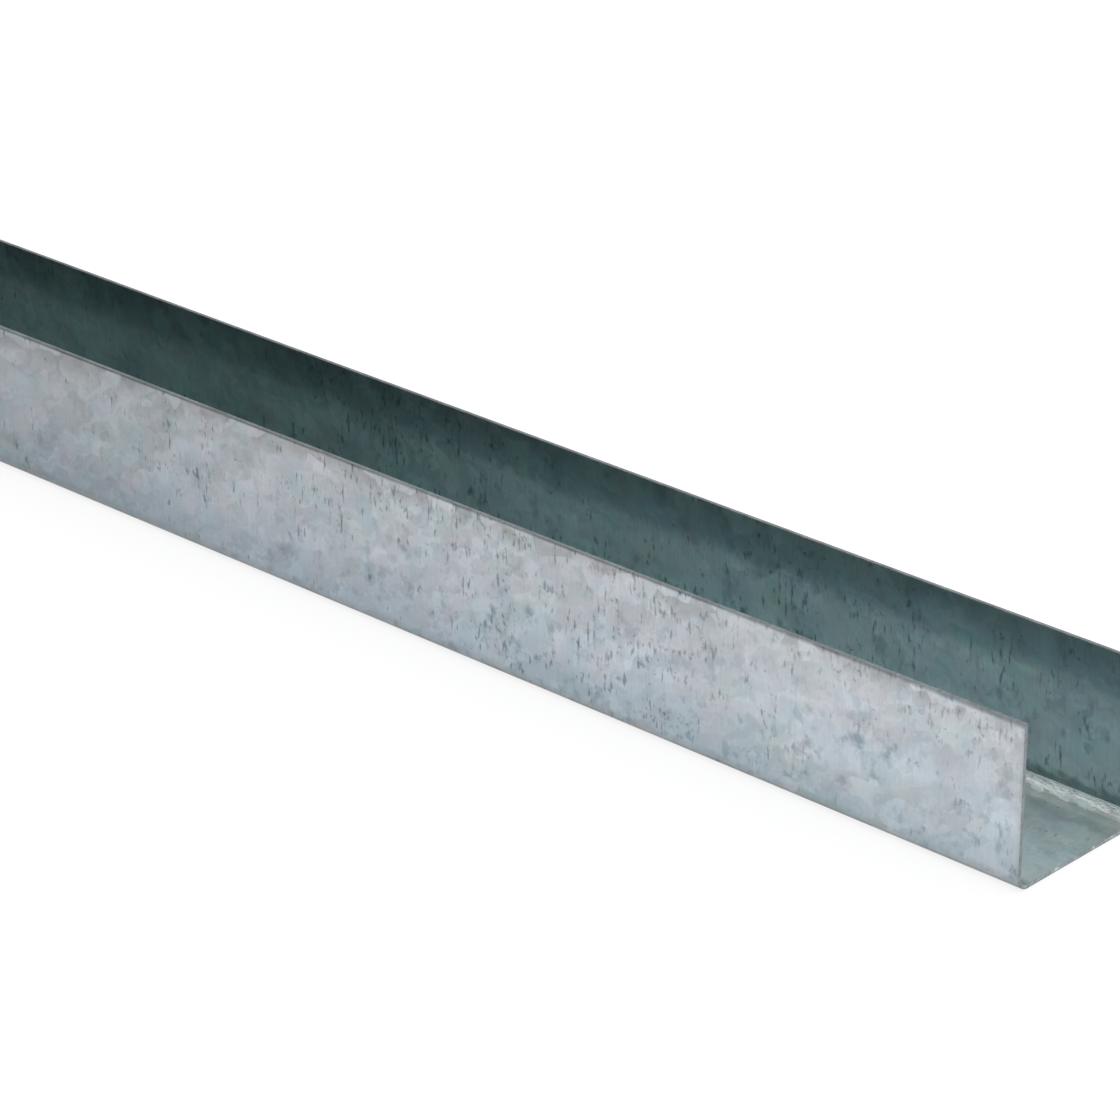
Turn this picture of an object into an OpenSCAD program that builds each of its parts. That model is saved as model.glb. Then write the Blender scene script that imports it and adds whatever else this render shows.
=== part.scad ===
// Drywall track: a U channel roll-formed from one strip of galvanised sheet steel.
// It lies on its web with both flanges up, as stock lies on a level floor.
// The origin is the middle of the underside of the web. X runs along the track,
// Y across it, and Z up along the flanges.

/* [Length] */
// Length between the two cut ends
track_length = 3000; // [600:50:4000]

/* [Section] */
// Width across the outer faces of the flanges
web_width = 28; // [20:0.5:150]
// Height of a flange from the underside of the web to its rim
flange_height = 27; // [15:0.5:60]
// Thickness of the galvanised sheet
sheet_thickness = 0.6; // [0.4:0.05:1.5]
// Radius on the inner side of each bend
bend_radius = 1.6; // [0.4:0.1:3]

/* [Hidden] */

// Roundness of the bends
$fn = 96;
// Radius on the outer side of each bend
outer_radius = bend_radius + sheet_thickness;
// How far cutting shapes run past the faces they cut
overrun = 1;

// Outline of a channel with round lower corners, standing on Y = 0 and open at the top
module channel_outline(width, height, corner) {
    translate([-width / 2, corner])
        square([width, height - corner]);
    translate([-width / 2 + corner, 0])
        square([width - 2 * corner, height]);
    for (side = [-1, 1])
        translate([side * (width / 2 - corner), corner])
            circle(r = corner);
}

// Bent sheet seen from the end: web below, one flange up on each side
module track_section() {
    difference() {
        channel_outline(web_width, flange_height, outer_radius);
        translate([0, sheet_thickness])
            channel_outline(web_width - 2 * sheet_thickness, flange_height + overrun, bend_radius);
    }
}

// The track, with its section turned upright and run along X
module track() {
    color([0.72, 0.75, 0.77])
        rotate([90, 0, 90])
            linear_extrude(height = track_length, center = true)
                track_section();
}

track();
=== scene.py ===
"""Finish of a drywall track: a U channel roll-formed from galvanised sheet steel.

The sheet is folded and given its thickness here, over the fixed frame that holds its sizes.
"""
import math

import bmesh
import bpy
from bpy.props import FloatProperty, FloatVectorProperty, IntProperty, PointerProperty
from mathutils import Matrix, Vector, noise


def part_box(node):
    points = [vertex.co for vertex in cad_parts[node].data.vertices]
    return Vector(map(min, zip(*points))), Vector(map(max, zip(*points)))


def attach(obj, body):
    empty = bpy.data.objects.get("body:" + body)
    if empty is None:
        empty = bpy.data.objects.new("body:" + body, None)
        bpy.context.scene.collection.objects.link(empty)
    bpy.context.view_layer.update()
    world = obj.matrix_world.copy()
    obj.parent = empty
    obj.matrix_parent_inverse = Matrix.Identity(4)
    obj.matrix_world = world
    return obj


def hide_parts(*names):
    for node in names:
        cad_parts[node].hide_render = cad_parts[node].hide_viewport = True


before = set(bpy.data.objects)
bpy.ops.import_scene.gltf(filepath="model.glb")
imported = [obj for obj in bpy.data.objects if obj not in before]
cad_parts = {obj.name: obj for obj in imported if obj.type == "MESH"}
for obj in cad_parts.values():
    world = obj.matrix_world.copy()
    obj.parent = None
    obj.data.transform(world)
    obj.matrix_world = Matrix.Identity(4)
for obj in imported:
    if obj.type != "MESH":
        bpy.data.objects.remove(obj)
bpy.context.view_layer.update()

bl_info = {
    "name": "Drywall track",
    "version": (1, 0, 0),
    "blender": (4, 5, 0),
    "location": "View3D > Sidebar > Drywall track",
    "description": "Rolls a galvanised steel track and sets a plain studio around it",
    "category": "Object",
}

MM = 0.001
NODE = "track"
LOW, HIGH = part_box(NODE)
SHEET_THICKNESS = 0.6 * MM
SHEET_RADIUS = 1.6 * MM
FLOOR_GAP = 0.05 * MM

# The zinc's patterns and their bounds are in millimetres, and so are the rim and the cut end
RIM = HIGH.z / MM
END = HIGH.x / MM
# The inner side shows its patterns from this far along the strip
INSIDE_SHIFT = 460.0
# The slowly drifting tone of the coat, partly painted shade where the light falls off away from the cut
# end: its scale along the strip, and where in the noise it starts
DRIFT_AND_FALLOFF_SCALE = 0.0026
DRIFT_AND_FALLOFF_START = 23.29

# How much the facets change the roughness, and the fold adds to it
GLOSS_SWING = 0.03
FOLD_ROUGHNESS = 0.12
# Heights of the relief
GRAIN_RELIEF = 0.02
CRACK_RELIEF = 0.12

# The order of the sheet's materials
OUTSIDE, INSIDE, SHEARED = range(3)
# A face looks along an axis if this much of its normal does
FACING = 0.3
# The sheared rim reaches this far down
RIM_REACH = 0.2 * MM

# A flat waves fully from this far off a fold. The waves are per metre along and up the track, and
# their middle number sets its two sides apart
WAVE_REACH = 8.0 * MM
SLOW_WAVE = (14.0, 5.0, 20.0)
QUICK_WAVE = (45.0, 9.0, 60.0)

# The sheet laid out flat: rows, gaps between strips, and shares of a row's length at its ends
MAP_NAME = "OFBake"
MAP_ROWS = 5
MAP_GAP = 2.5 * MM
MAP_EDGE = 0.002
MAP_CUT = 0.006


# Shader node helpers

def add(tree, kind, inputs=None, **settings):
    """Adds a node, sets its properties, and fills or links its inputs."""
    node = tree.nodes.new(kind)
    for name, value in settings.items():
        setattr(node, name, value)
    for socket, value in (inputs or {}).items():
        if isinstance(value, bpy.types.NodeSocket):
            tree.links.new(value, node.inputs[socket])
        else:
            node.inputs[socket].default_value = value
    return node


def calc(tree, operation, first, second=0.0, third=0.0, clamp=False):
    """A Math node's result."""
    inputs = {0: first, 1: second, 2: third}
    return add(tree, "ShaderNodeMath", inputs, operation=operation, use_clamp=clamp).outputs[0]


def span(tree, value, start, end, low=0.0, high=1.0, curve="LINEAR"):
    """Goes from low to high while the value goes from start to end, and stays there."""
    inputs = {"Value": value, "From Min": start, "From Max": end, "To Min": low, "To Max": high}
    return add(tree, "ShaderNodeMapRange", inputs, interpolation_type=curve).outputs["Result"]


def soft_span(tree, value, start, end, low=0.0, high=1.0):
    """The same with a soft start and a soft end."""
    return span(tree, value, start, end, low, high, "SMOOTHSTEP")


def swing(tree, value, amount, reach=0.25):
    """A factor that strays from 1 by the amount while the value strays from a half by its reach."""
    return span(tree, value, 0.5 - reach, 0.5 + reach, 1.0 - amount, 1.0 + amount)


def sway(tree, place, value, reach):
    """A place moved by up to half the reach either way as the value goes from 0 to 1."""
    return calc(tree, "MULTIPLY_ADD", value, reach, calc(tree, "SUBTRACT", place, 0.5 * reach))


def product(tree, *factors):
    """All the factors multiplied."""
    result = factors[0]
    for factor in factors[1:]:
        result = calc(tree, "MULTIPLY", result, factor)
    return result


def blend(tree, factor, first, second, how="MIX"):
    """A Mix node's colour."""
    inputs = {0: factor, 6: first, 7: second}
    return add(tree, "ShaderNodeMix", inputs, data_type="RGBA", blend_type=how).outputs[2]


def tint(tree, factor, base, shade):
    """The base colour multiplied by a shade, as far as the factor says."""
    return blend(tree, factor, base, (*shade, 1.0), "MULTIPLY")


def stretch(tree, vector, scale, shift=(0.0, 0.0, 0.0), turn=0.0):
    """A position scaled, turned and shifted by a Mapping node."""
    inputs = {"Vector": vector, "Scale": scale, "Location": shift, "Rotation": (0.0, 0.0, turn)}
    return add(tree, "ShaderNodeMapping", inputs).outputs["Vector"]


def slant(tree, vector, size, turn):
    """A position in a pattern that is drawn out along a slanting line; the size is in millimetres."""
    inputs = {"Vector": vector, "Scale": size, "Rotation": (0.0, 0.0, turn)}
    return add(tree, "ShaderNodeMapping", inputs, vector_type="TEXTURE").outputs["Vector"]


def cloud(tree, vector, scale, detail=2.0, roughness=0.5, shift=(0.0, 0.0, 0.0)):
    """A flat Noise texture's value; the scale is per millimetre along and across the strip."""
    along, across = scale
    place = stretch(tree, vector, (along, across, 1.0), shift)
    inputs = {"Vector": place, "Scale": 1.0, "Detail": detail, "Roughness": roughness}
    return add(tree, "ShaderNodeTexNoise", inputs, noise_dimensions="2D").outputs["Fac"]


def warp(tree, vector, scale, detail):
    """A flat Noise texture's colour, by which another pattern is bent."""
    inputs = {"Vector": vector, "Scale": scale, "Detail": detail}
    return add(tree, "ShaderNodeTexNoise", inputs, noise_dimensions="2D").outputs["Color"]


def soft_cells(tree, vector, scale, softness):
    """Three random values for each cell of a flat Voronoi texture with soft borders."""
    inputs = {"Vector": vector, "Scale": scale, "Smoothness": softness}
    cells = add(tree, "ShaderNodeTexVoronoi", inputs, feature="SMOOTH_F1", voronoi_dimensions="2D")
    return add(tree, "ShaderNodeSeparateColor", {0: cells.outputs["Color"]}).outputs


def strip_place(tree, shift):
    """Where a point lies on the strip before it was folded, in millimetres.

    Flat is its place in the patterns: along the length, and across from the middle of the web up
    both flanges. The shift keeps the two sides of the sheet from showing the same pattern.
    """
    place = add(tree, "ShaderNodeTexCoord").outputs["Object"]
    place = stretch(tree, place, (1.0 / MM, 1.0 / MM, 1.0 / MM))
    along, sideways, height = add(tree, "ShaderNodeSeparateXYZ", {0: place}).outputs
    side = span(tree, sideways, -10.0, 10.0, -1.0, 1.0)
    across = calc(tree, "MULTIPLY_ADD", height, side, sideways)
    shifted = calc(tree, "ADD", along, shift)
    return {
        "flat": add(tree, "ShaderNodeCombineXYZ", {0: shifted, 1: across}).outputs[0],
        "along": along,
        "height": height,
        "outward": calc(tree, "ABSOLUTE", sideways),
    }


def strip_depth(tree, strip):
    """How deep a point lies under the outer side of the folded strip, in millimetres."""
    outer_radius = (SHEET_RADIUS + SHEET_THICKNESS) / MM
    over = calc(tree, "SUBTRACT", strip["outward"], HIGH.y / MM - outer_radius)
    under = calc(tree, "SUBTRACT", outer_radius, strip["height"])
    over = calc(tree, "MAXIMUM", over, 0.0)
    under = calc(tree, "MAXIMUM", under, 0.0)
    corner = add(tree, "ShaderNodeCombineXYZ", {0: over, 1: under}).outputs[0]
    reach = add(tree, "ShaderNodeVectorMath", {0: corner}, operation="LENGTH").outputs["Value"]
    return calc(tree, "SUBTRACT", outer_radius, reach)


def new_material(name, colour):
    """An empty node material with a Principled shader."""
    material = bpy.data.materials.new(name)
    material.use_nodes = True
    material.diffuse_color = (*colour, 1.0)
    tree = material.node_tree
    tree.nodes.clear()
    shader = add(tree, "ShaderNodeBsdfPrincipled")
    add(tree, "ShaderNodeOutputMaterial", {"Surface": shader.outputs["BSDF"]})
    return material, tree, shader


def new_group(name, inputs, outputs):
    """An empty shader node group, with its inputs' kinds and its outputs' names."""
    group = bpy.data.node_groups.new(name, "ShaderNodeTree")
    for socket, kind in inputs.items():
        group.interface.new_socket(socket, in_out="INPUT", socket_type=kind)
    for socket in outputs:
        group.interface.new_socket(socket, in_out="OUTPUT", socket_type="NodeSocketFloat")
    start = group.nodes.new("NodeGroupInput")
    end = group.nodes.new("NodeGroupOutput")
    return group, start.outputs, end.inputs


def place_group(tree, group, **inputs):
    """Places a group in a material and returns its outputs."""
    return add(tree, "ShaderNodeGroup", inputs, node_tree=group).outputs


# Node groups

def grain_group():
    """Fine grain of rolled metal, with faint lines across the strip."""
    tree, given, made = new_group("rolled_grain", {"Place": "NodeSocketVector"}, ("Grain", "Lines"))
    tree.links.new(cloud(tree, given["Place"], (1.7, 1.2), 3.0, 0.62), made["Grain"])
    tree.links.new(cloud(tree, given["Place"], (2.6, 0.15)), made["Lines"])
    return tree


def marks_group():
    """Marks in the zinc: dark streaks across the strip, blots among them, smudges and bruises.

    The streaks and the blots gather in the same crowds, with calm zinc between.
    """
    kinds = {"Place": "NodeSocketVector", "Cover": "NodeSocketFloat"}
    outputs = ("Streak", "Pale", "Blot", "Smudge", "Bruise")
    tree, given, made = new_group("zinc_marks", kinds, outputs)
    place = given["Place"]
    cluster = cloud(tree, place, (0.22, 0.2), 3.0, 0.55, (31.0, 7.0, 0.0))
    region = cloud(tree, place, (0.03, 0.06), 1.0, 0.5, (8.0, 5.0, 0.0))
    limit = calc(tree, "MULTIPLY_ADD", cluster, -0.9, 1.36)
    limit = calc(tree, "MULTIPLY_ADD", region, -0.42, limit)
    limit = calc(tree, "SUBTRACT", limit, given["Cover"])
    limit = calc(tree, "MAXIMUM", limit, 0.60)

    drawn = cloud(tree, place, (1.45, 0.38), 1.7)
    over = calc(tree, "SUBTRACT", drawn, limit)
    under = calc(tree, "SUBTRACT", calc(tree, "SUBTRACT", 1.0, drawn), limit)
    tree.links.new(soft_span(tree, over, -0.045, 0.125), made["Streak"])
    tree.links.new(soft_span(tree, under, 0.0, 0.09), made["Pale"])

    blots = cloud(tree, place, (0.95, 0.7), 3.0, 0.6, (17.0, 29.0, 0.0))
    over = calc(tree, "SUBTRACT", blots, limit)
    tree.links.new(soft_span(tree, over, -0.035, 0.12), made["Blot"])

    smudges = cloud(tree, place, (0.42, 0.36), 3.0, 0.55, (11.0, 43.0, 0.0))
    gather = cloud(tree, place, (0.09, 0.11), 1.0, 0.5, (3.0, 71.0, 0.0))
    limit = calc(tree, "MULTIPLY_ADD", gather, -0.6, 0.89)
    over = calc(tree, "SUBTRACT", smudges, limit)
    tree.links.new(soft_span(tree, over, -0.03, 0.15), made["Smudge"])

    inputs = {"Vector": stretch(tree, place, (0.11, 0.13, 1.0), (0.4, 0.7, 0.0)), "Scale": 1.0}
    spots = add(tree, "ShaderNodeTexVoronoi", inputs, feature="F1", voronoi_dimensions="2D").outputs
    chance = add(tree, "ShaderNodeSeparateColor", {0: spots["Color"]}).outputs[0]
    reach = span(tree, chance, 0.5, 1.0, -0.12, 0.24)
    inner = calc(tree, "SUBTRACT", sway(tree, reach, smudges, 0.8), spots["Distance"])
    tree.links.new(soft_span(tree, inner, 0.0, 0.16), made["Bruise"])
    return tree


def spangle_group():
    """Soft crystal facets of the zinc, with a random shade, hue and gloss for each."""
    kinds = {"Place": "NodeSocketVector", "Size": "NodeSocketFloat", "Bend": "NodeSocketFloat"}
    outputs = ("Shade", "Hue", "Gloss")
    tree, given, made = new_group("zinc_spangle", kinds, outputs)
    place = given["Place"]
    inputs = {0: warp(tree, place, 0.33, 1.5), 1: (0.5, 0.5, 0.5)}
    centred = add(tree, "ShaderNodeVectorMath", inputs, operation="SUBTRACT")
    inputs = {0: centred.outputs[0], "Scale": given["Bend"]}
    scaled = add(tree, "ShaderNodeVectorMath", inputs, operation="SCALE")
    bent = add(tree, "ShaderNodeVectorMath", {0: place, 1: scaled.outputs[0]}, operation="ADD")
    slanted = slant(tree, bent.outputs[0], (1.4, 0.68, 1.0), -0.5)
    facets = soft_cells(tree, slanted, calc(tree, "DIVIDE", 1.0, given["Size"]), 0.2)
    for value, socket in zip(facets, outputs):
        tree.links.new(value, made[socket])
    return tree


# The coat of zinc

def mark_cover(tree, strip, drift_and_falloff, finish, inside):
    """How thickly the marks lie: thinly where the coat is dull, at the cut end and on the web."""
    along, height = strip["along"], strip["height"]
    full = finish.mark_cover
    if inside:
        cover = span(tree, drift_and_falloff, 0.2, 0.45, full - 0.09, full)
        high = soft_span(tree, height, 1.5, 4.0, -0.08, 0.0)
        calm = soft_span(tree, along, END - 32.0, END - 18.0, 0.0, 0.06)
    else:
        cover = span(tree, drift_and_falloff, 0.2, 0.45, full - 0.13, full)
        high = soft_span(tree, height, 8.0, 18.0, -0.015, 0.03)
        calm = soft_span(tree, along, END - 50.0, END - 20.0)
        calm = product(tree, calm, soft_span(tree, height, 24.0, 16.0, 0.03, 0.11))
    return calc(tree, "SUBTRACT", calc(tree, "ADD", cover, high), calm)


def coat_patterns(tree, strip, finish, groups, inside):
    """The patterns that the layers of the coat share."""
    flat = strip["flat"]
    slow = calc(tree, "MULTIPLY_ADD", strip["along"], DRIFT_AND_FALLOFF_SCALE, DRIFT_AND_FALLOFF_START)
    inputs = {"W": slow, "Scale": 1.0, "Detail": 0.0}
    drift_and_falloff = add(tree, "ShaderNodeTexNoise", inputs, noise_dimensions="1D").outputs["Fac"]
    drawn = stretch(tree, flat, (0.84, 0.74, 1.0)) if inside else flat
    cover = mark_cover(tree, strip, drift_and_falloff, finish, inside)
    return {
        "drift_and_falloff": drift_and_falloff,
        "grain": place_group(tree, groups["grain"], Place=flat),
        "marks": place_group(tree, groups["marks"], Place=drawn, Cover=cover),
        "large": place_group(tree, groups["spangle"], Place=flat, Size=5.0, Bend=7.0),
        "small": place_group(tree, groups["spangle"], Place=flat, Size=1.9, Bend=3.0),
        "clouds": cloud(tree, flat, (0.11, 0.14), 2.0, 0.55, (5.0, 3.0, 0.0)),
    }


def fold_patterns(tree, strip):
    """The patterns round the inner folds, and the mask of the cracked fold itself."""
    flat = strip["flat"]
    wander = cloud(tree, flat, (0.4, 0.5), 2.0, 0.5, (6.0, 13.0, 0.0))
    start = calc(tree, "MULTIPLY_ADD", wander, 1.5, strip["outward"])
    return {
        "wander": wander,
        "crinkle": cloud(tree, flat, (0.7, 1.4), 4.0, 0.6, (9.0, 27.0, 0.0)),
        "specks": cloud(tree, flat, (2.6, 3.4), 2.0, 0.5, (2.0, 5.0, 0.0)),
        "fold": product(
            tree,
            soft_span(tree, strip["height"], 2.42, 2.28),
            soft_span(tree, start, 12.95, 13.2),
        ),
    }


# Shades that multiply the coat's colour: its drifting tone, partly painted shade, and its hues
COLD_DRIFT_AND_FALLOFF_SHADE = (0.93, 1.0, 1.0)
WARM_SHADE = (1.04, 0.995, 0.985)
BLUISH_SHADE = (0.955, 0.995, 1.015)
OUTSIDE_GREEN = (0.96, 1.006, 0.98)
INSIDE_GREEN = (0.935, 1.01, 0.965)
INSIDE_ROSE = (1.04, 0.985, 0.99)


def coat_layers(tree, base, strip, parts, finish, inside):
    """The coat before its marks: it drifts along the strip, partly as painted shade, and has facets,
    grain and hues.
    """
    drift_and_falloff, large, small = parts["drift_and_falloff"], parts["large"], parts["small"]
    strength = finish.inside_facets if inside else 1.0
    spread = finish.facet_contrast * strength
    # The drifting tone darkens the coat away from the cut end: partly a random tone, partly painted shade
    # where the light falls off, deeper inside
    factors = [
        span(tree, drift_and_falloff, 0.15, 0.60, 0.61 if inside else 0.70, 1.0),
        swing(tree, large["Shade"], spread, 0.3),
        swing(tree, small["Shade"], 0.9 * spread, 0.3),
        swing(tree, parts["clouds"], 0.05 * strength, 0.2),
        swing(tree, parts["grain"]["Grain"], 0.031 * strength),
        swing(tree, parts["grain"]["Lines"], 0.029 * strength),
    ]
    if not inside:
        factors.append(span(tree, drift_and_falloff, 0.15, 0.32, 0.94, 1.0))
    base = blend(tree, 1.0, base, product(tree, *factors), "MULTIPLY")
    # Inside, the coat turns bluer where the drifting tone darkens, partly as painted shade
    if inside:
        base = tint(tree, span(tree, drift_and_falloff, 0.6, 0.15), base, COLD_DRIFT_AND_FALLOFF_SHADE)

    # Warm and bluish patches, the outer side warmer towards the rim, and a few green ones
    hues = cloud(tree, strip["flat"], (0.13, 0.17), 3.0, 0.55, (0.0, 17.0, 0.0))
    lean = span(tree, strip["height"], 3.0, 24.0, -0.14, 0.0 if inside else 0.12)
    hues = calc(tree, "ADD", hues, lean)
    base = tint(tree, soft_span(tree, hues, 0.42, 0.74), base, WARM_SHADE)
    base = tint(tree, soft_span(tree, hues, 0.56, 0.26), base, BLUISH_SHADE)
    green = INSIDE_GREEN if inside else OUTSIDE_GREEN
    base = tint(tree, soft_span(tree, large["Gloss"], 0.6, 0.9), base, green)
    if inside:
        base = tint(tree, soft_span(tree, small["Hue"], 0.55, 0.85), base, INSIDE_ROSE)
    return base


# Shades of the marks
SMUDGE_SHADE = (0.53, 0.60, 0.63)
BRUISE_SHADE = (0.42, 0.50, 0.56)
OUTSIDE_WORN = (0.34, 0.37, 0.385)
INSIDE_WORN = (0.33, 0.40, 0.42)
PALE_SHADE = (1.16, 1.15, 1.14)


def mark_layers(tree, base, strip, parts, finish, inside):
    """Smudges, bruises and blots, and streaks that keep to the flanges."""
    height, drift_and_falloff, marks = strip["height"], parts["drift_and_falloff"], parts["marks"]
    force = finish.inside_marks if inside else 1.0
    worn = INSIDE_WORN if inside else OUTSIDE_WORN
    web = soft_span(tree, height, 1.5, 4.0, 0.3, 1.0) if inside else 1.0
    # Inside, the smudges gain twice what the other marks do
    low = soft_span(tree, height, 24.0, 8.0, 0.6, 1.2)
    few = span(tree, drift_and_falloff, 0.2, 0.45, 0.5, 1.0)
    strength = finish.smudge_strength * force ** 2
    smudges = product(tree, marks["Smudge"], strength, low, web, few)
    base = tint(tree, smudges, base, SMUDGE_SHADE)
    low = soft_span(tree, height, 22.0, 10.0, 0.25, 1.0)
    few = span(tree, drift_and_falloff, 0.2, 0.5, 0.15, 1.0)
    bruises = product(tree, marks["Bruise"], finish.bruise_strength * force, low, web, few)
    base = tint(tree, bruises, base, BRUISE_SHADE)
    base = tint(tree, product(tree, marks["Blot"], finish.blot_strength * force), base, worn)
    if inside:
        flange = soft_span(tree, height, 1.0, 5.0)
        flange = product(tree, flange, soft_span(tree, height, 22.0, 19.0, 0.4, 1.0))
    else:
        flange = soft_span(tree, strip["along"], END - 75.0, END - 20.0, 1.0, 0.62)
    streaks = product(tree, marks["Streak"], finish.streak_strength * force, flange)
    base = tint(tree, streaks, base, worn)
    pale = product(tree, marks["Pale"], finish.pale_strength * force, flange)
    return tint(tree, pale, base, PALE_SHADE)


# Shades of the outer side
LOW_PAINTED_SHADE = (0.81, 0.838, 0.862)
BEND_PAINTED_SHADE = (0.86, 0.85, 0.83)
UNDER_PAINTED_SHADE = (0.56, 0.54, 0.53)
STAINED_PETAL = (0.80, 0.775, 0.75)
PALE_PETAL = (1.03, 1.03, 1.03)
HIGH_END_SHADE = (0.962, 0.967, 0.956)
LOW_END_SHADE = (0.98, 0.985, 0.965)
SAWN_SHADE = (0.90, 0.90, 0.86)
RIM_WEAR_AND_SHADE = (0.20, 0.22, 0.225)


def outside_layers(tree, base, strip, parts):
    """The outer side: painted shade by height, a stained rim, and a rim line partly of painted shade."""
    flat, along, height = strip["flat"], strip["along"], strip["height"]
    # Painted shade: duller and bluer towards the fold, and dark under it, where the flange mirrors the
    # floor's shadow
    base = tint(tree, soft_span(tree, height, 12.5, 1.6), base, LOW_PAINTED_SHADE)
    base = tint(tree, soft_span(tree, height, 2.9, 1.5), base, BEND_PAINTED_SHADE)
    base = tint(tree, soft_span(tree, height, 1.6, 0.8), base, UNDER_PAINTED_SHADE)
    # Stained petals hang down from the rim, with pale ones between them
    inputs = {0: warp(tree, flat, 0.16, 1.0), 1: (5.0, 4.0, 0.0), 2: flat}
    bent = add(tree, "ShaderNodeVectorMath", inputs, operation="MULTIPLY_ADD").outputs[0]
    bent = stretch(tree, bent, (0.19, 0.29, 1.0), turn=0.5)
    kind, length, _ = soft_cells(tree, bent, 1.0, 0.3)
    hang = calc(tree, "MULTIPLY_ADD", length, 3.0, height)
    hang = soft_span(tree, hang, RIM - 2.6, RIM + 1.0)
    stained = product(tree, hang, soft_span(tree, kind, 0.42, 0.58))
    base = tint(tree, stained, base, STAINED_PETAL)
    pale = product(tree, hang, soft_span(tree, kind, 0.40, 0.28))
    base = tint(tree, pale, base, PALE_PETAL)
    # A little duller towards the cut end, high and low, and greyest where the saw passed
    high = soft_span(tree, height, 18.0, 23.0)
    high = product(tree, high, soft_span(tree, along, END - 90.0, END - 62.0))
    base = tint(tree, high, base, HIGH_END_SHADE)
    low = soft_span(tree, height, 14.0, 8.0)
    low = product(tree, low, soft_span(tree, along, END - 75.0, END - 40.0))
    base = tint(tree, low, base, LOW_END_SHADE)
    base = tint(tree, soft_span(tree, along, END - 0.9, END - 0.2), base, SAWN_SHADE)
    # The shear rolled the rim over and wore the zinc there, which leaves a dark line, partly painted
    # shade of the rolled rim, that is wider and paler at the cut end
    fade = span(tree, along, END - 190.0, END, 0.87, 0.59)
    width = span(tree, along, END - 60.0, END, 0.65, 1.08)
    depth = calc(tree, "DIVIDE", calc(tree, "SUBTRACT", RIM, height), width)
    worn = swing(tree, parts["clouds"], 0.2, 0.2)
    line = product(tree, soft_span(tree, depth, 1.0, 0.25), fade, worn)
    return tint(tree, line, base, RIM_WEAR_AND_SHADE)


# Shades of the inner side of the flanges
PAINTED_BAND_SHADE = (0.67, 0.725, 0.75)
PALE_LINE_SHADE = (1.06, 1.05, 1.05)
PALED_SHADE = (1.12, 1.10, 1.09)
MIDDLE_PAINTED_SHADE = (0.90, 0.90, 0.905)
LOWER_PAINTED_SHADE = (0.885, 0.865, 0.845)
TOP_PAINTED_SHADE = (0.78, 0.735, 0.70)
DULL_END_SHADE = (0.915, 0.92, 0.92)
FOOT_PAINTED_SHADE = (0.49, 0.515, 0.50)


def inner_flange_layers(tree, base, strip, parts):
    """The inner side of the flanges: painted shade by height, with a ragged dark band below the rim and a
    dark foot.
    """
    along, height = strip["along"], strip["height"]
    large, small = parts["large"], parts["small"]
    # Painted shade: a ragged dark band below the rim, where the flange mirrors the shaded inside of the
    # channel
    ragged = sway(tree, height, parts["clouds"], 1.8)
    ragged = sway(tree, ragged, large["Hue"], 1.4)
    ragged = sway(tree, ragged, small["Shade"], 1.6)
    band = soft_span(tree, ragged, RIM - 8.4, RIM - 5.6)
    base = tint(tree, band, base, PAINTED_BAND_SHADE)
    # Pale lines and pale facets beside the band
    beside = calc(tree, "SUBTRACT", 1.0, band)
    lines = soft_span(tree, parts["grain"]["Lines"], 0.52, 0.68)
    pale_lines = product(tree, lines, soft_span(tree, height, RIM - 13.0, RIM - 9.0), beside)
    base = tint(tree, pale_lines, base, PALE_LINE_SHADE)
    facets = soft_span(tree, small["Shade"], 0.5, 0.9)
    paled = product(tree, facets, soft_span(tree, height, RIM - 11.0, RIM - 7.5), beside)
    base = tint(tree, paled, base, PALED_SHADE)
    # Painted shade, duller below the middle and at the top, where the flange mirrors the dark channel.
    # Duller towards the cut end
    base = tint(tree, soft_span(tree, height, 16.5, 12.8), base, MIDDLE_PAINTED_SHADE)
    base = tint(tree, span(tree, height, 12.0, 5.0), base, LOWER_PAINTED_SHADE)
    base = tint(tree, span(tree, height, RIM - 5.5, RIM - 0.9), base, TOP_PAINTED_SHADE)
    dulled = soft_span(tree, height, 1.5, 4.0)
    dulled = product(tree, dulled, soft_span(tree, along, END - 90.0, END - 20.0))
    base = tint(tree, dulled, base, DULL_END_SHADE)
    # Painted shade just above the fold, where the flange mirrors the dark channel
    foot = soft_span(tree, sway(tree, height, parts["wander"], 3.0), 4.7, 3.0)
    foot = product(tree, foot, span(tree, height, 2.3, 2.5))
    return tint(tree, foot, base, FOOT_PAINTED_SHADE)


# Shades of the inner side of the web
WEB_PAINTED_LIGHT = (1.39, 1.15, 1.12)
TURN_PAINTED_SHADE = (0.675, 0.73, 0.72)
LATE_TURN_PAINTED_SHADE = (0.58, 0.60, 0.61)


def web_layers(tree, base, strip, parts):
    """The inner side of the web: brighter and warmer as painted light from above, and darker as painted
    shade where it turns up.
    """
    outward = strip["outward"]
    beside = calc(tree, "SUBTRACT", 1.0, parts["fold"])
    # Painted light on the web, which faces the light above
    web = product(tree, span(tree, strip["height"], 2.0, 1.9), beside)
    base = tint(tree, web, base, WEB_PAINTED_LIGHT)
    # Painted shade where the web turns up beside the fold
    turned = product(tree, soft_span(tree, outward, 10.4, 11.4), web)
    base = tint(tree, turned, base, TURN_PAINTED_SHADE)
    turned = product(tree, soft_span(tree, outward, 11.6, 12.3), web)
    return tint(tree, turned, base, LATE_TURN_PAINTED_SHADE)


# Shades of the inner side of the folds
FOLD_PAINTED_SHADE = (0.86, 0.785, 0.765)
FOLD_PAINTED_LIGHT = (1.58, 1.31, 1.255)
CREASE_PAINTED_HIGHLIGHT = (1.62, 1.58, 1.58)
SPECK_SHADE = (0.70, 0.70, 0.70)
FOLD_END_SHADE = (0.81, 0.82, 0.83)


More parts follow.
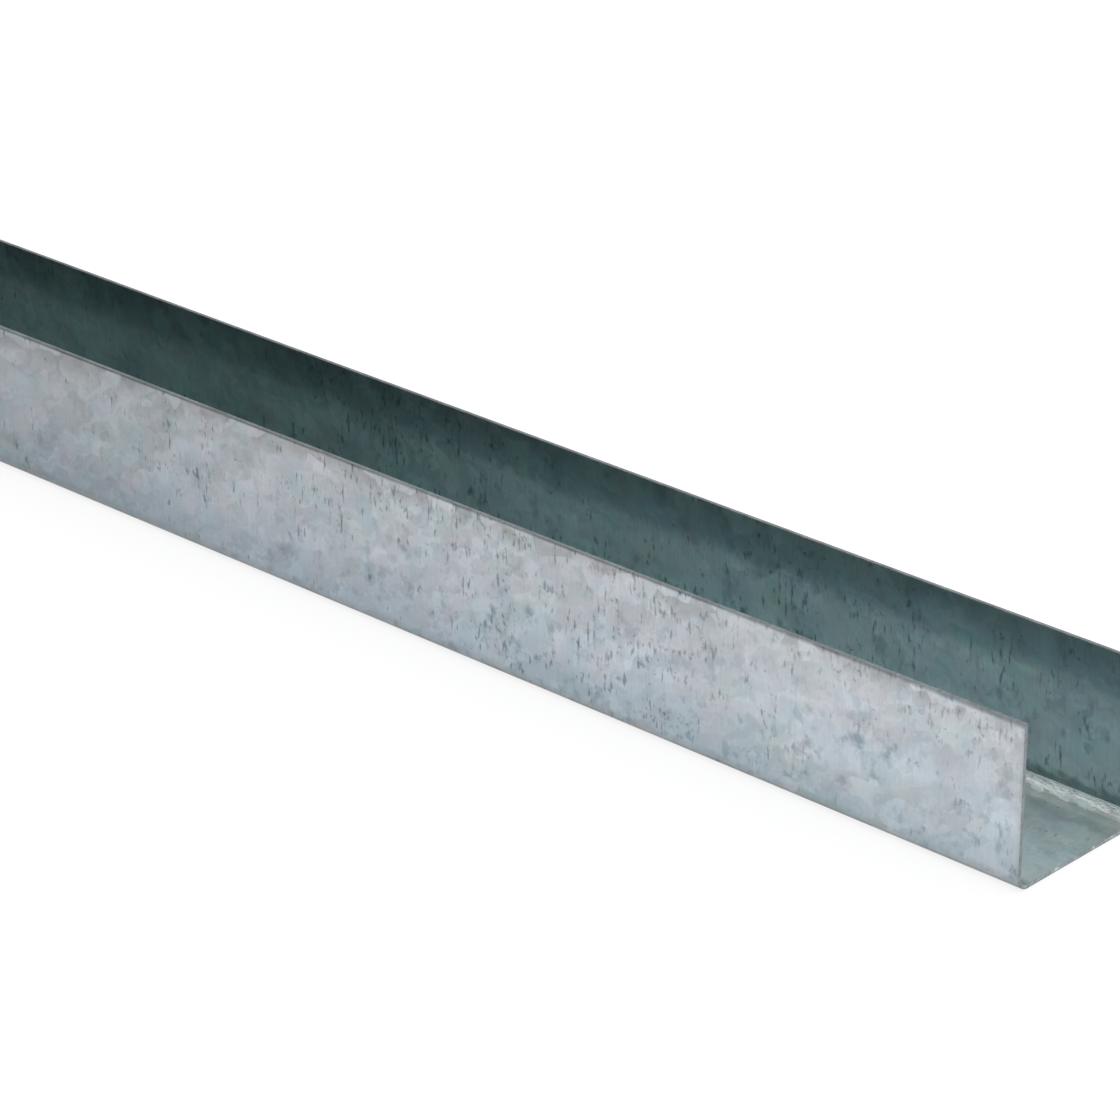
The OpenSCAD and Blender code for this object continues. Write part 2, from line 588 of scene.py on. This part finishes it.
def fold_layers(tree, base, strip, parts):
    """The inner side of the folds: the coat is cracked, with painted shade low on it, painted light high
    on it and a painted highlight at the crease.
    """
    height, crinkle = strip["height"], parts["crinkle"]
    speckle = span(tree, crinkle, 0.3, 0.7, 0.88, 1.12)
    cracked = blend(tree, 1.0, base, speckle, "MULTIPLY")
    # Painted shade low on the fold and painted light high on it
    shaded_fold = tint(tree, 1.0, cracked, FOLD_PAINTED_SHADE)
    lit_fold = tint(tree, 1.0, cracked, FOLD_PAINTED_LIGHT)
    cracked = blend(tree, soft_span(tree, height, 0.9, 1.7), shaded_fold, lit_fold)
    # A painted highlight along the crease
    crease = soft_span(tree, crinkle, 0.28, 0.42)
    crease = product(tree, crease, soft_span(tree, height, 1.9, 2.05))
    cracked = tint(tree, crease, cracked, CREASE_PAINTED_HIGHLIGHT)
    specks = soft_span(tree, parts["specks"], 0.58, 0.70)
    specks = product(tree, specks, span(tree, height, 1.2, 1.5))
    cracked = tint(tree, specks, cracked, SPECK_SHADE)
    ending = soft_span(tree, strip["along"], END - 5.5, END - 3.0)
    ending = product(tree, ending, span(tree, height, 1.9, 1.5))
    cracked = tint(tree, ending, cracked, FOLD_END_SHADE)
    return blend(tree, parts["fold"], base, cracked)


# Materials

def zinc_material(name, colour, finish, groups, inside):
    """The zinc coat of one side of the sheet."""
    material, tree, shader = new_material(name, colour)
    strip = strip_place(tree, INSIDE_SHIFT if inside else 0.0)
    parts = coat_patterns(tree, strip, finish, groups, inside)
    base = coat_layers(tree, (*colour, 1.0), strip, parts, finish, inside)
    base = mark_layers(tree, base, strip, parts, finish, inside)
    low, high = finish.roughness - GLOSS_SWING, finish.roughness + GLOSS_SWING
    rough = span(tree, parts["large"]["Gloss"], 0.2, 0.8, low, high)
    relief = calc(tree, "MULTIPLY", parts["grain"]["Grain"], GRAIN_RELIEF)
    if inside:
        parts.update(fold_patterns(tree, strip))
        base = inner_flange_layers(tree, base, strip, parts)
        base = web_layers(tree, base, strip, parts)
        base = fold_layers(tree, base, strip, parts)
        rough = calc(tree, "MULTIPLY_ADD", parts["fold"], FOLD_ROUGHNESS, rough)
        cracks = product(tree, parts["crinkle"], parts["fold"])
        relief = calc(tree, "MULTIPLY_ADD", cracks, CRACK_RELIEF, relief)
    else:
        base = outside_layers(tree, base, strip, parts)
    tree.links.new(base, shader.inputs["Base Color"])
    shader.inputs["Metallic"].default_value = finish.metallic
    tree.links.new(rough, shader.inputs["Roughness"])
    bump = add(tree, "ShaderNodeBump", {"Height": relief, "Distance": MM, "Strength": 1.0})
    tree.links.new(bump.outputs["Normal"], shader.inputs["Normal"])
    return material


# Shades of the torn steel, partly a painted highlight
TORN_AND_HIGHLIGHT_SHADE = (1.25, 1.22, 1.2)
TORN_PAINTED_GLINT = (1.4, 1.4, 1.38)


def edge_material(finish, groups):
    """The bare steel of a sheared edge: dark where the blade left it, and paler where it broke, partly as
    a painted highlight of its burr.
    """
    material, tree, shader = new_material("sheared_edge", finish.edge_colour)
    strip = strip_place(tree, 0.0)
    along, height = strip["along"], strip["height"]
    grain = place_group(tree, groups["grain"], Place=strip["flat"])["Grain"]
    slow = cloud(tree, strip["flat"], (0.2, 0.3), 3.0, 0.6, (40.0, 2.0, 0.0))
    # The rim is duller, the more so away from the cut end, where painted shade stands for the light
    # falling off
    dull = span(tree, along, END - 190.0, END - 90.0, 0.30, 0.19)
    dull = product(tree, dull, soft_span(tree, height, RIM - 0.3, RIM - 0.1))
    rim_dullness_and_falloff = calc(tree, "SUBTRACT", 1.0, dull)
    shade = product(tree, swing(tree, grain, 0.2), swing(tree, slow, 0.2, 0.2), rim_dullness_and_falloff)
    base = blend(tree, 1.0, (*finish.edge_colour, 1.0), shade, "MULTIPLY")
    # The web's edge broke off on its inner side, which is paler, partly as a painted highlight of the
    # burr, with painted glints
    torn = calc(tree, "MULTIPLY_ADD", grain, 0.5, strip_depth(tree, strip))
    torn = soft_span(tree, torn, 0.42, 0.62)
    torn = product(tree, torn, soft_span(tree, height, 2.0, 0.6))
    base = tint(tree, torn, base, TORN_AND_HIGHLIGHT_SHADE)
    torn_glints = product(tree, torn, soft_span(tree, slow, 0.54, 0.62))
    base = tint(tree, torn_glints, base, TORN_PAINTED_GLINT)
    tree.links.new(base, shader.inputs["Base Color"])
    shader.inputs["Metallic"].default_value = 1.0
    shader.inputs["Roughness"].default_value = 0.5
    return material


# Objects

def new_object(name, data):
    """An object in the scene, at the origin."""
    piece = bpy.data.objects.new(name, data)
    bpy.context.scene.collection.objects.link(piece)
    return piece


def mesh_object(name, mesh, materials):
    """The modelled mesh as an object with its materials."""
    data = bpy.data.meshes.new(name)
    mesh.to_mesh(data)
    mesh.free()
    for material in materials:
        data.materials.append(material)
    return new_object(name, data)


# The sheet

def round_edges(mesh, edges, radius, segments):
    """Rounds edges off."""
    bmesh.ops.bevel(
        mesh,
        geom=edges,
        offset=radius,
        offset_type="OFFSET",
        segments=segments,
        profile=0.5,
        affect="EDGES",
        material=-1,
    )


def folded_surface(sheet):
    """The outer side of the track as one open surface: flange, web and flange, with two folds."""
    mesh = bmesh.new()
    section = ((LOW.y, HIGH.z), (LOW.y, LOW.z), (HIGH.y, LOW.z), (HIGH.y, HIGH.z))
    corners = [mesh.verts.new((LOW.x, y, z)) for y, z in section]
    lines = [mesh.edges.new(pair) for pair in zip(corners, corners[1:])]
    drawn = bmesh.ops.extrude_edge_only(mesh, edges=lines)["geom"]
    far_corners = [item for item in drawn if isinstance(item, bmesh.types.BMVert)]
    bmesh.ops.translate(mesh, verts=far_corners, vec=(HIGH.x - LOW.x, 0.0, 0.0))
    folds = [edge for edge in mesh.edges if len(edge.link_faces) == 2]
    round_edges(mesh, folds, sheet.bend_radius + sheet.thickness, sheet.bend_segments)
    return mesh


def runs_along(edge):
    """Whether an edge runs along the track."""
    line = edge.verts[1].co - edge.verts[0].co
    return abs(line.x) > 0.9 * line.length


def divide_surface(mesh, sheet):
    """Cuts the flat stretches across and the whole surface along, so that it can be waved."""
    least = 2.0 * sheet.bend_radius
    across = [edge for edge in mesh.edges if not runs_along(edge)]
    flat = [edge for edge in across if edge.calc_length() > least]
    bmesh.ops.subdivide_edges(mesh, edges=flat, cuts=sheet.flat_cuts, use_grid_fill=True)
    along = [edge for edge in mesh.edges if runs_along(edge)]
    cuts = round((HIGH.x - LOW.x) / sheet.step) - 1
    bmesh.ops.subdivide_edges(mesh, edges=along, cuts=cuts, use_grid_fill=True)


def face_outwards(mesh):
    """Turns the faces of the open surface so that the web looks down."""
    bmesh.ops.recalc_face_normals(mesh, faces=mesh.faces)
    web = min(mesh.faces, key=lambda face: face.calc_center_median().z)
    if web.normal.z > 0.0:
        bmesh.ops.reverse_faces(mesh, faces=mesh.faces)


def sharp_edges(mesh, least=math.radians(60.0)):
    """The edges of the closed sheet that a shear left."""
    shared = [edge for edge in mesh.edges if len(edge.link_faces) == 2]
    return [edge for edge in shared if edge.calc_face_angle() > least]


def press_folds(mesh, sheet):
    """Flattens the inner side of each fold a little, as the rolls do, so that it starts with a crease."""
    radius = sheet.bend_radius + sheet.thickness
    centre = HIGH.y - radius
    inner_reach = radius - 0.7 * sheet.thickness
    for vert in mesh.verts:
        over = abs(vert.co.y) - centre
        under = radius - vert.co.z
        if over < 0.0 or under < 0.0 or math.hypot(over, under) > inner_reach:
            continue
        turn = math.atan2(under, over) - 0.25 * math.pi
        chord = math.cos(0.25 * math.pi) / math.cos(turn)
        factor = 1.0 + sheet.fold_flatness * (chord - 1.0)
        vert.co.y = math.copysign(centre + over * factor, vert.co.y)
        vert.co.z = radius - under * factor


def wave_height(place, side, waves):
    """A smooth random height on one side of the track."""
    along, apart, up = waves
    return noise.noise(Vector((place.x * along, side * apart, place.z * up)))


def wave_sheet(mesh, sheet):
    """Bends the flats by a fraction of the thickness, always inwards."""
    for vert in mesh.verts:
        side = 1.0 if vert.co.y > 0.0 else -1.0
        slow = wave_height(vert.co, side, SLOW_WAVE)
        quick = wave_height(vert.co, side, QUICK_WAVE)
        wave = sheet.waviness * (0.5 + 0.5 * slow + 0.25 * quick)
        wave = min(max(wave, 0.0), sheet.waviness)
        above = vert.co.z - sheet.bend_radius - sheet.thickness
        inset = HIGH.y - abs(vert.co.y) - sheet.bend_radius - sheet.thickness
        if abs(vert.co.y) > HIGH.y - 1.5 * sheet.thickness:
            vert.co.y -= side * wave * min(max(above / WAVE_REACH, 0.0), 1.0)
        elif vert.co.z < 2.0 * sheet.thickness:
            vert.co.z += 0.5 * wave * min(max(inset / WAVE_REACH, 0.0), 1.0)


def closes_end(face):
    """Whether a face lies across one end of the track."""
    return abs(face.normal.x) > FACING


def sort_faces(mesh):
    """Gives each face the material of its side, or that of a sheared edge."""
    middle = Vector((0.0, 0.0, 0.5 * (LOW.z + HIGH.z)))
    for face in mesh.faces:
        centre = face.calc_center_median()
        rim = face.normal.z > FACING and centre.z > HIGH.z - RIM_REACH
        inwards = middle - centre
        inwards.x = 0.0
        if rim or closes_end(face):
            face.material_index = SHEARED
        else:
            face.material_index = INSIDE if face.normal.dot(inwards) > 0.0 else OUTSIDE
        face.smooth = True


def section_place(point, sheet):
    """How far round the folded section a point lies from the middle of the web, and how deep."""
    radius = sheet.bend_radius + sheet.thickness
    centre = HIGH.y - radius
    over = abs(point.y) - centre
    under = radius - point.z
    if under <= 0.0:
        reach = centre + 0.5 * math.pi * radius - under
        depth = HIGH.y - abs(point.y)
    elif over <= 0.0:
        reach = abs(point.y)
        depth = point.z
    else:
        reach = centre + radius * math.atan2(over, under)
        depth = radius - math.hypot(over, under)
    return math.copysign(reach, point.y), depth


def lay_map(mesh, sheet):
    """Lays the sheet out flat in rows, so that the long strip fills a square evenly.

    Each row holds a stretch of the outer side with the rims beside it, then the inner side. The
    two cut ends lie after the rows' far ends.
    """
    layer = mesh.loops.layers.uv.new(MAP_NAME)
    rim = section_place(HIGH, sheet)[0]
    side = 2.0 * (rim + 2.0 * sheet.thickness)
    row_length = (HIGH.x - LOW.x) / MAP_ROWS
    row_width = 2.0 * (side + MAP_GAP)
    run = 1.0 - 2.0 * MAP_EDGE - 2.0 * MAP_CUT
    for face in mesh.faces:
        row = min(int((face.calc_center_median().x - LOW.x) / row_length), MAP_ROWS - 1)
        cut = face.material_index == SHEARED
        inside = face.material_index == INSIDE
        middle = 0.5 * (side + MAP_GAP)
        if inside:
            middle += side + MAP_GAP
        for loop in face.loops:
            reach, depth = section_place(loop.vert.co, sheet)
            place = MAP_EDGE + run * ((loop.vert.co.x - LOW.x) / row_length - row)
            if cut and closes_end(face):
                place = 1.0 - MAP_EDGE - MAP_CUT * (1.0 - depth / sheet.thickness)
            elif cut:
                beyond = abs(reach) - rim
                beyond = depth + (beyond if depth < 0.5 * sheet.thickness else -beyond)
                reach = math.copysign(rim + beyond, reach)
            across = middle + (reach if inside else -reach)
            loop[layer].uv = (place, (row + across / row_width) / MAP_ROWS)


def sheet_materials(finish):
    """The sheet's materials, in the order of OUTSIDE, INSIDE and SHEARED."""
    groups = {"grain": grain_group(), "marks": marks_group(), "spangle": spangle_group()}
    return (
        zinc_material("zinc_outside", finish.outside_shaded_colour, finish, groups, False),
        zinc_material("zinc_inside", finish.inside_lit_colour, finish, groups, True),
        edge_material(finish, groups),
    )


def make_sheet(sheet, finish):
    """The whole track as one closed mesh."""
    mesh = folded_surface(sheet)
    divide_surface(mesh, sheet)
    face_outwards(mesh)
    bmesh.ops.solidify(mesh, geom=mesh.faces, thickness=sheet.thickness)
    round_edges(mesh, sharp_edges(mesh), sheet.arris, segments=2)
    press_folds(mesh, sheet)
    wave_sheet(mesh, sheet)
    mesh.normal_update()
    sort_faces(mesh)
    lay_map(mesh, sheet)
    piece = mesh_object("track_sheet", mesh, sheet_materials(finish))
    normals = piece.modifiers.new("even_shading", "WEIGHTED_NORMAL")
    normals.keep_sharp = True
    return piece


# The studio

def floor_material(studio):
    """A matt floor that glows where it is seen directly or in a reflection."""
    material, tree, shader = new_material("studio_floor", studio.floor_colour)
    shader.inputs["Base Color"].default_value = (*studio.floor_colour, 1.0)
    shader.inputs["Roughness"].default_value = 1.0
    shader.inputs["Specular IOR Level"].default_value = 0.0
    path = add(tree, "ShaderNodeLightPath").outputs
    seen = calc(tree, "ADD", path["Is Camera Ray"], path["Is Glossy Ray"], clamp=True)
    seen = calc(tree, "ADD", seen, path["Is Transmission Ray"], clamp=True)
    glow = calc(tree, "MULTIPLY", seen, studio.floor_glow)
    shader.inputs["Emission Color"].default_value = (1.0, 1.0, 1.0, 1.0)
    tree.links.new(glow, shader.inputs["Emission Strength"])
    return material


def make_floor(studio):
    """A level floor just under the track."""
    mesh = bmesh.new()
    bmesh.ops.create_grid(mesh, x_segments=1, y_segments=1, size=studio.floor_reach)
    bmesh.ops.translate(mesh, verts=mesh.verts, vec=(0.0, 0.0, LOW.z - FLOOR_GAP))
    return mesh_object("floor", mesh, (floor_material(studio),))


def make_world(studio):
    """Even surroundings of one colour."""
    world = bpy.data.worlds.new("studio")
    world.use_nodes = True
    tree = world.node_tree
    tree.nodes.clear()
    inputs = {"Color": (*studio.world_colour, 1.0), "Strength": 1.0}
    background = add(tree, "ShaderNodeBackground", inputs)
    add(tree, "ShaderNodeOutputWorld", {"Surface": background.outputs["Background"]})
    bpy.context.scene.world = world


def make_lamp(name, place, target, size, power):
    """A soft round lamp that looks at the target."""
    data = bpy.data.lights.new(name, "AREA")
    data.shape = "DISK"
    data.size = size
    data.energy = power
    lamp = new_object(name, data)
    lamp.location = place
    lamp.rotation_euler = (target - place).to_track_quat("-Z", "Y").to_euler()


def make_camera(studio):
    """The camera, which looks along the track at its cut end."""
    azimuth = studio.camera_azimuth
    elevation = studio.camera_elevation
    ahead = Vector((
        -math.sin(azimuth) * math.cos(elevation),
        math.cos(azimuth) * math.cos(elevation),
        -math.sin(elevation),
    ))
    level = Vector((math.cos(azimuth), math.sin(azimuth), 0.0))
    upright = level.cross(ahead)
    right = level * math.cos(studio.camera_roll) + upright * math.sin(studio.camera_roll)
    up = right.cross(ahead)
    turn = Matrix((right, up, -ahead)).transposed().to_4x4()
    end = Vector((HIGH.x, 0.0, 0.0))
    place = end + Vector(studio.aim) - ahead * studio.camera_distance
    data = bpy.data.cameras.new("camera")
    data.lens = studio.lens
    data.sensor_width = 36.0
    data.clip_start = 0.01
    data.clip_end = 200.0
    camera = new_object("camera", data)
    camera.matrix_world = Matrix.Translation(place) @ turn
    bpy.context.scene.camera = camera


# Settings

class SheetSizes(bpy.types.PropertyGroup):
    """Sizes of the folded sheet"""
    thickness: FloatProperty(
        name="Thickness", description="Thickness of the galvanised sheet",
        default=SHEET_THICKNESS, unit="LENGTH")
    bend_radius: FloatProperty(
        name="Bend radius", description="Radius on the inner side of each fold",
        default=SHEET_RADIUS, unit="LENGTH")
    bend_segments: IntProperty(
        name="Bend segments", description="Faces round each fold", default=12, min=4)
    fold_flatness: FloatProperty(
        name="Fold flatness", description="How flat the inner side of a fold is pressed",
        default=0.4, min=0.0, max=1.0, subtype="FACTOR")
    flat_cuts: IntProperty(
        name="Cuts across", description="Cuts across each flat stretch", default=5, min=1)
    step: FloatProperty(
        name="Step along", description="Length of the faces along the track",
        default=4.0 * MM, unit="LENGTH")
    arris: FloatProperty(
        name="Arris", description="Width of the rounding on sheared edges",
        default=0.14 * MM, unit="LENGTH")
    waviness: FloatProperty(
        name="Waviness", description="How far the flats stray from a plane",
        default=0.12 * MM, unit="LENGTH")


class ZincFinish(bpy.types.PropertyGroup):
    """Colours of the zinc and of its cuts, and strengths of its marks"""
    # The two sides are one zinc: the outer colour is darkened as painted shade, and the inner one is
    # brighter and bluer as painted light that bounces inside the channel
    outside_shaded_colour: FloatVectorProperty(
        name="Outside", description="Colour of the zinc coat outside the channel", subtype="COLOR",
        default=(0.509, 0.552, 0.597), min=0.0, max=1.0)
    inside_lit_colour: FloatVectorProperty(
        name="Inside", description="Colour of the zinc coat inside the channel", subtype="COLOR",
        default=(0.650, 0.796, 0.823), min=0.0, max=1.0)
    edge_colour: FloatVectorProperty(
        name="Sheared edge", description="Colour of the bare steel of a cut", subtype="COLOR",
        default=(0.27, 0.30, 0.315), min=0.0, max=1.0)
    facet_contrast: FloatProperty(
        name="Facets", description="How far the shade of a crystal facet strays",
        default=0.052, min=0.0, max=1.0, subtype="FACTOR")
    inside_facets: FloatProperty(
        name="Inside facets", description="How much stronger the facets are inside",
        default=1.05, min=0.0)
    inside_marks: FloatProperty(
        name="Inside marks", description="How much stronger the marks are inside",
        default=1.15, min=0.0)
    mark_cover: FloatProperty(
        name="Mark cover", description="Raises how much of the coat has marks", default=0.01)
    streak_strength: FloatProperty(
        name="Streaks", description="Strength of the dark streaks",
        default=0.68, min=0.0, max=1.0, subtype="FACTOR")
    pale_strength: FloatProperty(
        name="Pale streaks", description="Strength of the pale streaks",
        default=0.42, min=0.0, max=1.0, subtype="FACTOR")
    blot_strength: FloatProperty(
        name="Blots", description="Strength of the dark blots",
        default=0.56, min=0.0, max=1.0, subtype="FACTOR")
    smudge_strength: FloatProperty(
        name="Smudges", description="Strength of the grey smudges",
        default=0.42, min=0.0, max=1.0, subtype="FACTOR")
    bruise_strength: FloatProperty(
        name="Bruises", description="Strength of the bluish bruises",
        default=0.55, min=0.0, max=1.0, subtype="FACTOR")
    metallic: FloatProperty(
        name="Metallic", description="Share of the zinc that shines as metal",
        default=1.0, min=0.0, max=1.0, subtype="FACTOR")
    roughness: FloatProperty(
        name="Roughness", description="Mean roughness of the zinc",
        default=0.315, min=0.0, max=1.0, subtype="FACTOR")


class StudioSettings(bpy.types.PropertyGroup):
    """The floor, the light and the camera"""
    floor_colour: FloatVectorProperty(
        name="Floor", description="Colour of the floor", subtype="COLOR",
        default=(0.2, 0.2, 0.2), min=0.0, max=1.0)
    floor_glow: FloatProperty(
        name="Floor glow", description="Light that the seen floor adds", default=0.815)
    floor_reach: FloatProperty(
        name="Floor reach", description="Half the side of the floor", default=30.0, unit="LENGTH")
    world_colour: FloatVectorProperty(
        name="World", description="Colour of the surroundings", subtype="COLOR",
        default=(1.0, 1.0, 1.0), min=0.0, max=1.0)
    lamp_power: FloatProperty(
        name="Lamp power", description="Power of the overhead lamp", default=3.0, unit="POWER")
    lamp_place: FloatVectorProperty(
        name="Lamp place", description="Middle of the overhead lamp, from the cut end",
        default=(0.1, -0.3, 1.2), subtype="TRANSLATION")
    lamp_size: FloatProperty(
        name="Lamp size", description="Width of the overhead lamp", default=1.6, unit="LENGTH")
    camera_azimuth: FloatProperty(
        name="Camera azimuth", description="Turn of the view to the left of +Y",
        default=math.radians(43.64), unit="ROTATION")
    camera_elevation: FloatProperty(
        name="Camera elevation", description="Angle that the camera looks down",
        default=math.radians(24.708), unit="ROTATION")
    camera_roll: FloatProperty(
        name="Camera roll", description="Tilt of the camera about its axis",
        default=math.radians(-0.372), unit="ROTATION")
    camera_distance: FloatProperty(
        name="Camera distance", description="From the camera to the point it looks at",
        default=0.65151, unit="LENGTH")
    lens: FloatProperty(
        name="Lens", description="Focal length in millimetres", default=136.819, unit="CAMERA")
    aim: FloatVectorProperty(
        name="Aim", description="The point looked at, from the cut end's middle on the floor",
        default=(-0.08961, -0.014, 0.02433), subtype="TRANSLATION")


SETTINGS = {"track_sheet": SheetSizes, "track_finish": ZincFinish, "track_studio": StudioSettings}


# Operators

class DRYWALL_OT_roll_track(bpy.types.Operator):
    """Folds the sheet into the track and gives it its zinc coat"""
    bl_idname = "drywall.roll_track"
    bl_label = "Roll the track"

    def execute(self, context):
        scene = context.scene
        piece = make_sheet(scene.track_sheet, scene.track_finish)
        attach(piece, "root")
        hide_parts(NODE)
        return {"FINISHED"}


class DRYWALL_OT_set_stage(bpy.types.Operator):
    """Lays the floor, hangs the lamp and places the camera"""
    bl_idname = "drywall.set_stage"
    bl_label = "Set the stage"

    def execute(self, context):
        scene = context.scene
        studio = scene.track_studio
        make_floor(studio)
        make_world(studio)
        end = Vector((HIGH.x, 0.0, 0.0))
        place = end + Vector(studio.lamp_place)
        make_lamp("overhead", place, end, studio.lamp_size, studio.lamp_power)
        make_camera(studio)
        scene.view_settings.view_transform = "Standard"
        return {"FINISHED"}


OPERATORS = (DRYWALL_OT_roll_track, DRYWALL_OT_set_stage)


class DRYWALL_PT_track(bpy.types.Panel):
    """Lists the track's settings and steps"""
    bl_idname = "DRYWALL_PT_track"
    bl_label = "Drywall track"
    bl_space_type = "VIEW_3D"
    bl_region_type = "UI"
    bl_category = "Drywall track"

    def draw(self, context):
        layout = self.layout
        for name, group in SETTINGS.items():
            for setting in group.__annotations__:
                layout.prop(getattr(context.scene, name), setting)
        for operator in OPERATORS:
            layout.operator(operator.bl_idname)


CLASSES = (*SETTINGS.values(), *OPERATORS, DRYWALL_PT_track)


def register():
    """Registers the classes and puts the settings on the scene."""
    for cls in CLASSES:
        bpy.utils.register_class(cls)
    for name, group in SETTINGS.items():
        setattr(bpy.types.Scene, name, PointerProperty(type=group))


def unregister():
    """Takes the settings and the classes away again."""
    for name in SETTINGS:
        delattr(bpy.types.Scene, name)
    for cls in reversed(CLASSES):
        bpy.utils.unregister_class(cls)


def main():
    """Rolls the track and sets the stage."""
    register()
    bpy.ops.drywall.roll_track()
    bpy.ops.drywall.set_stage()


if __name__ == "__main__":
    main()
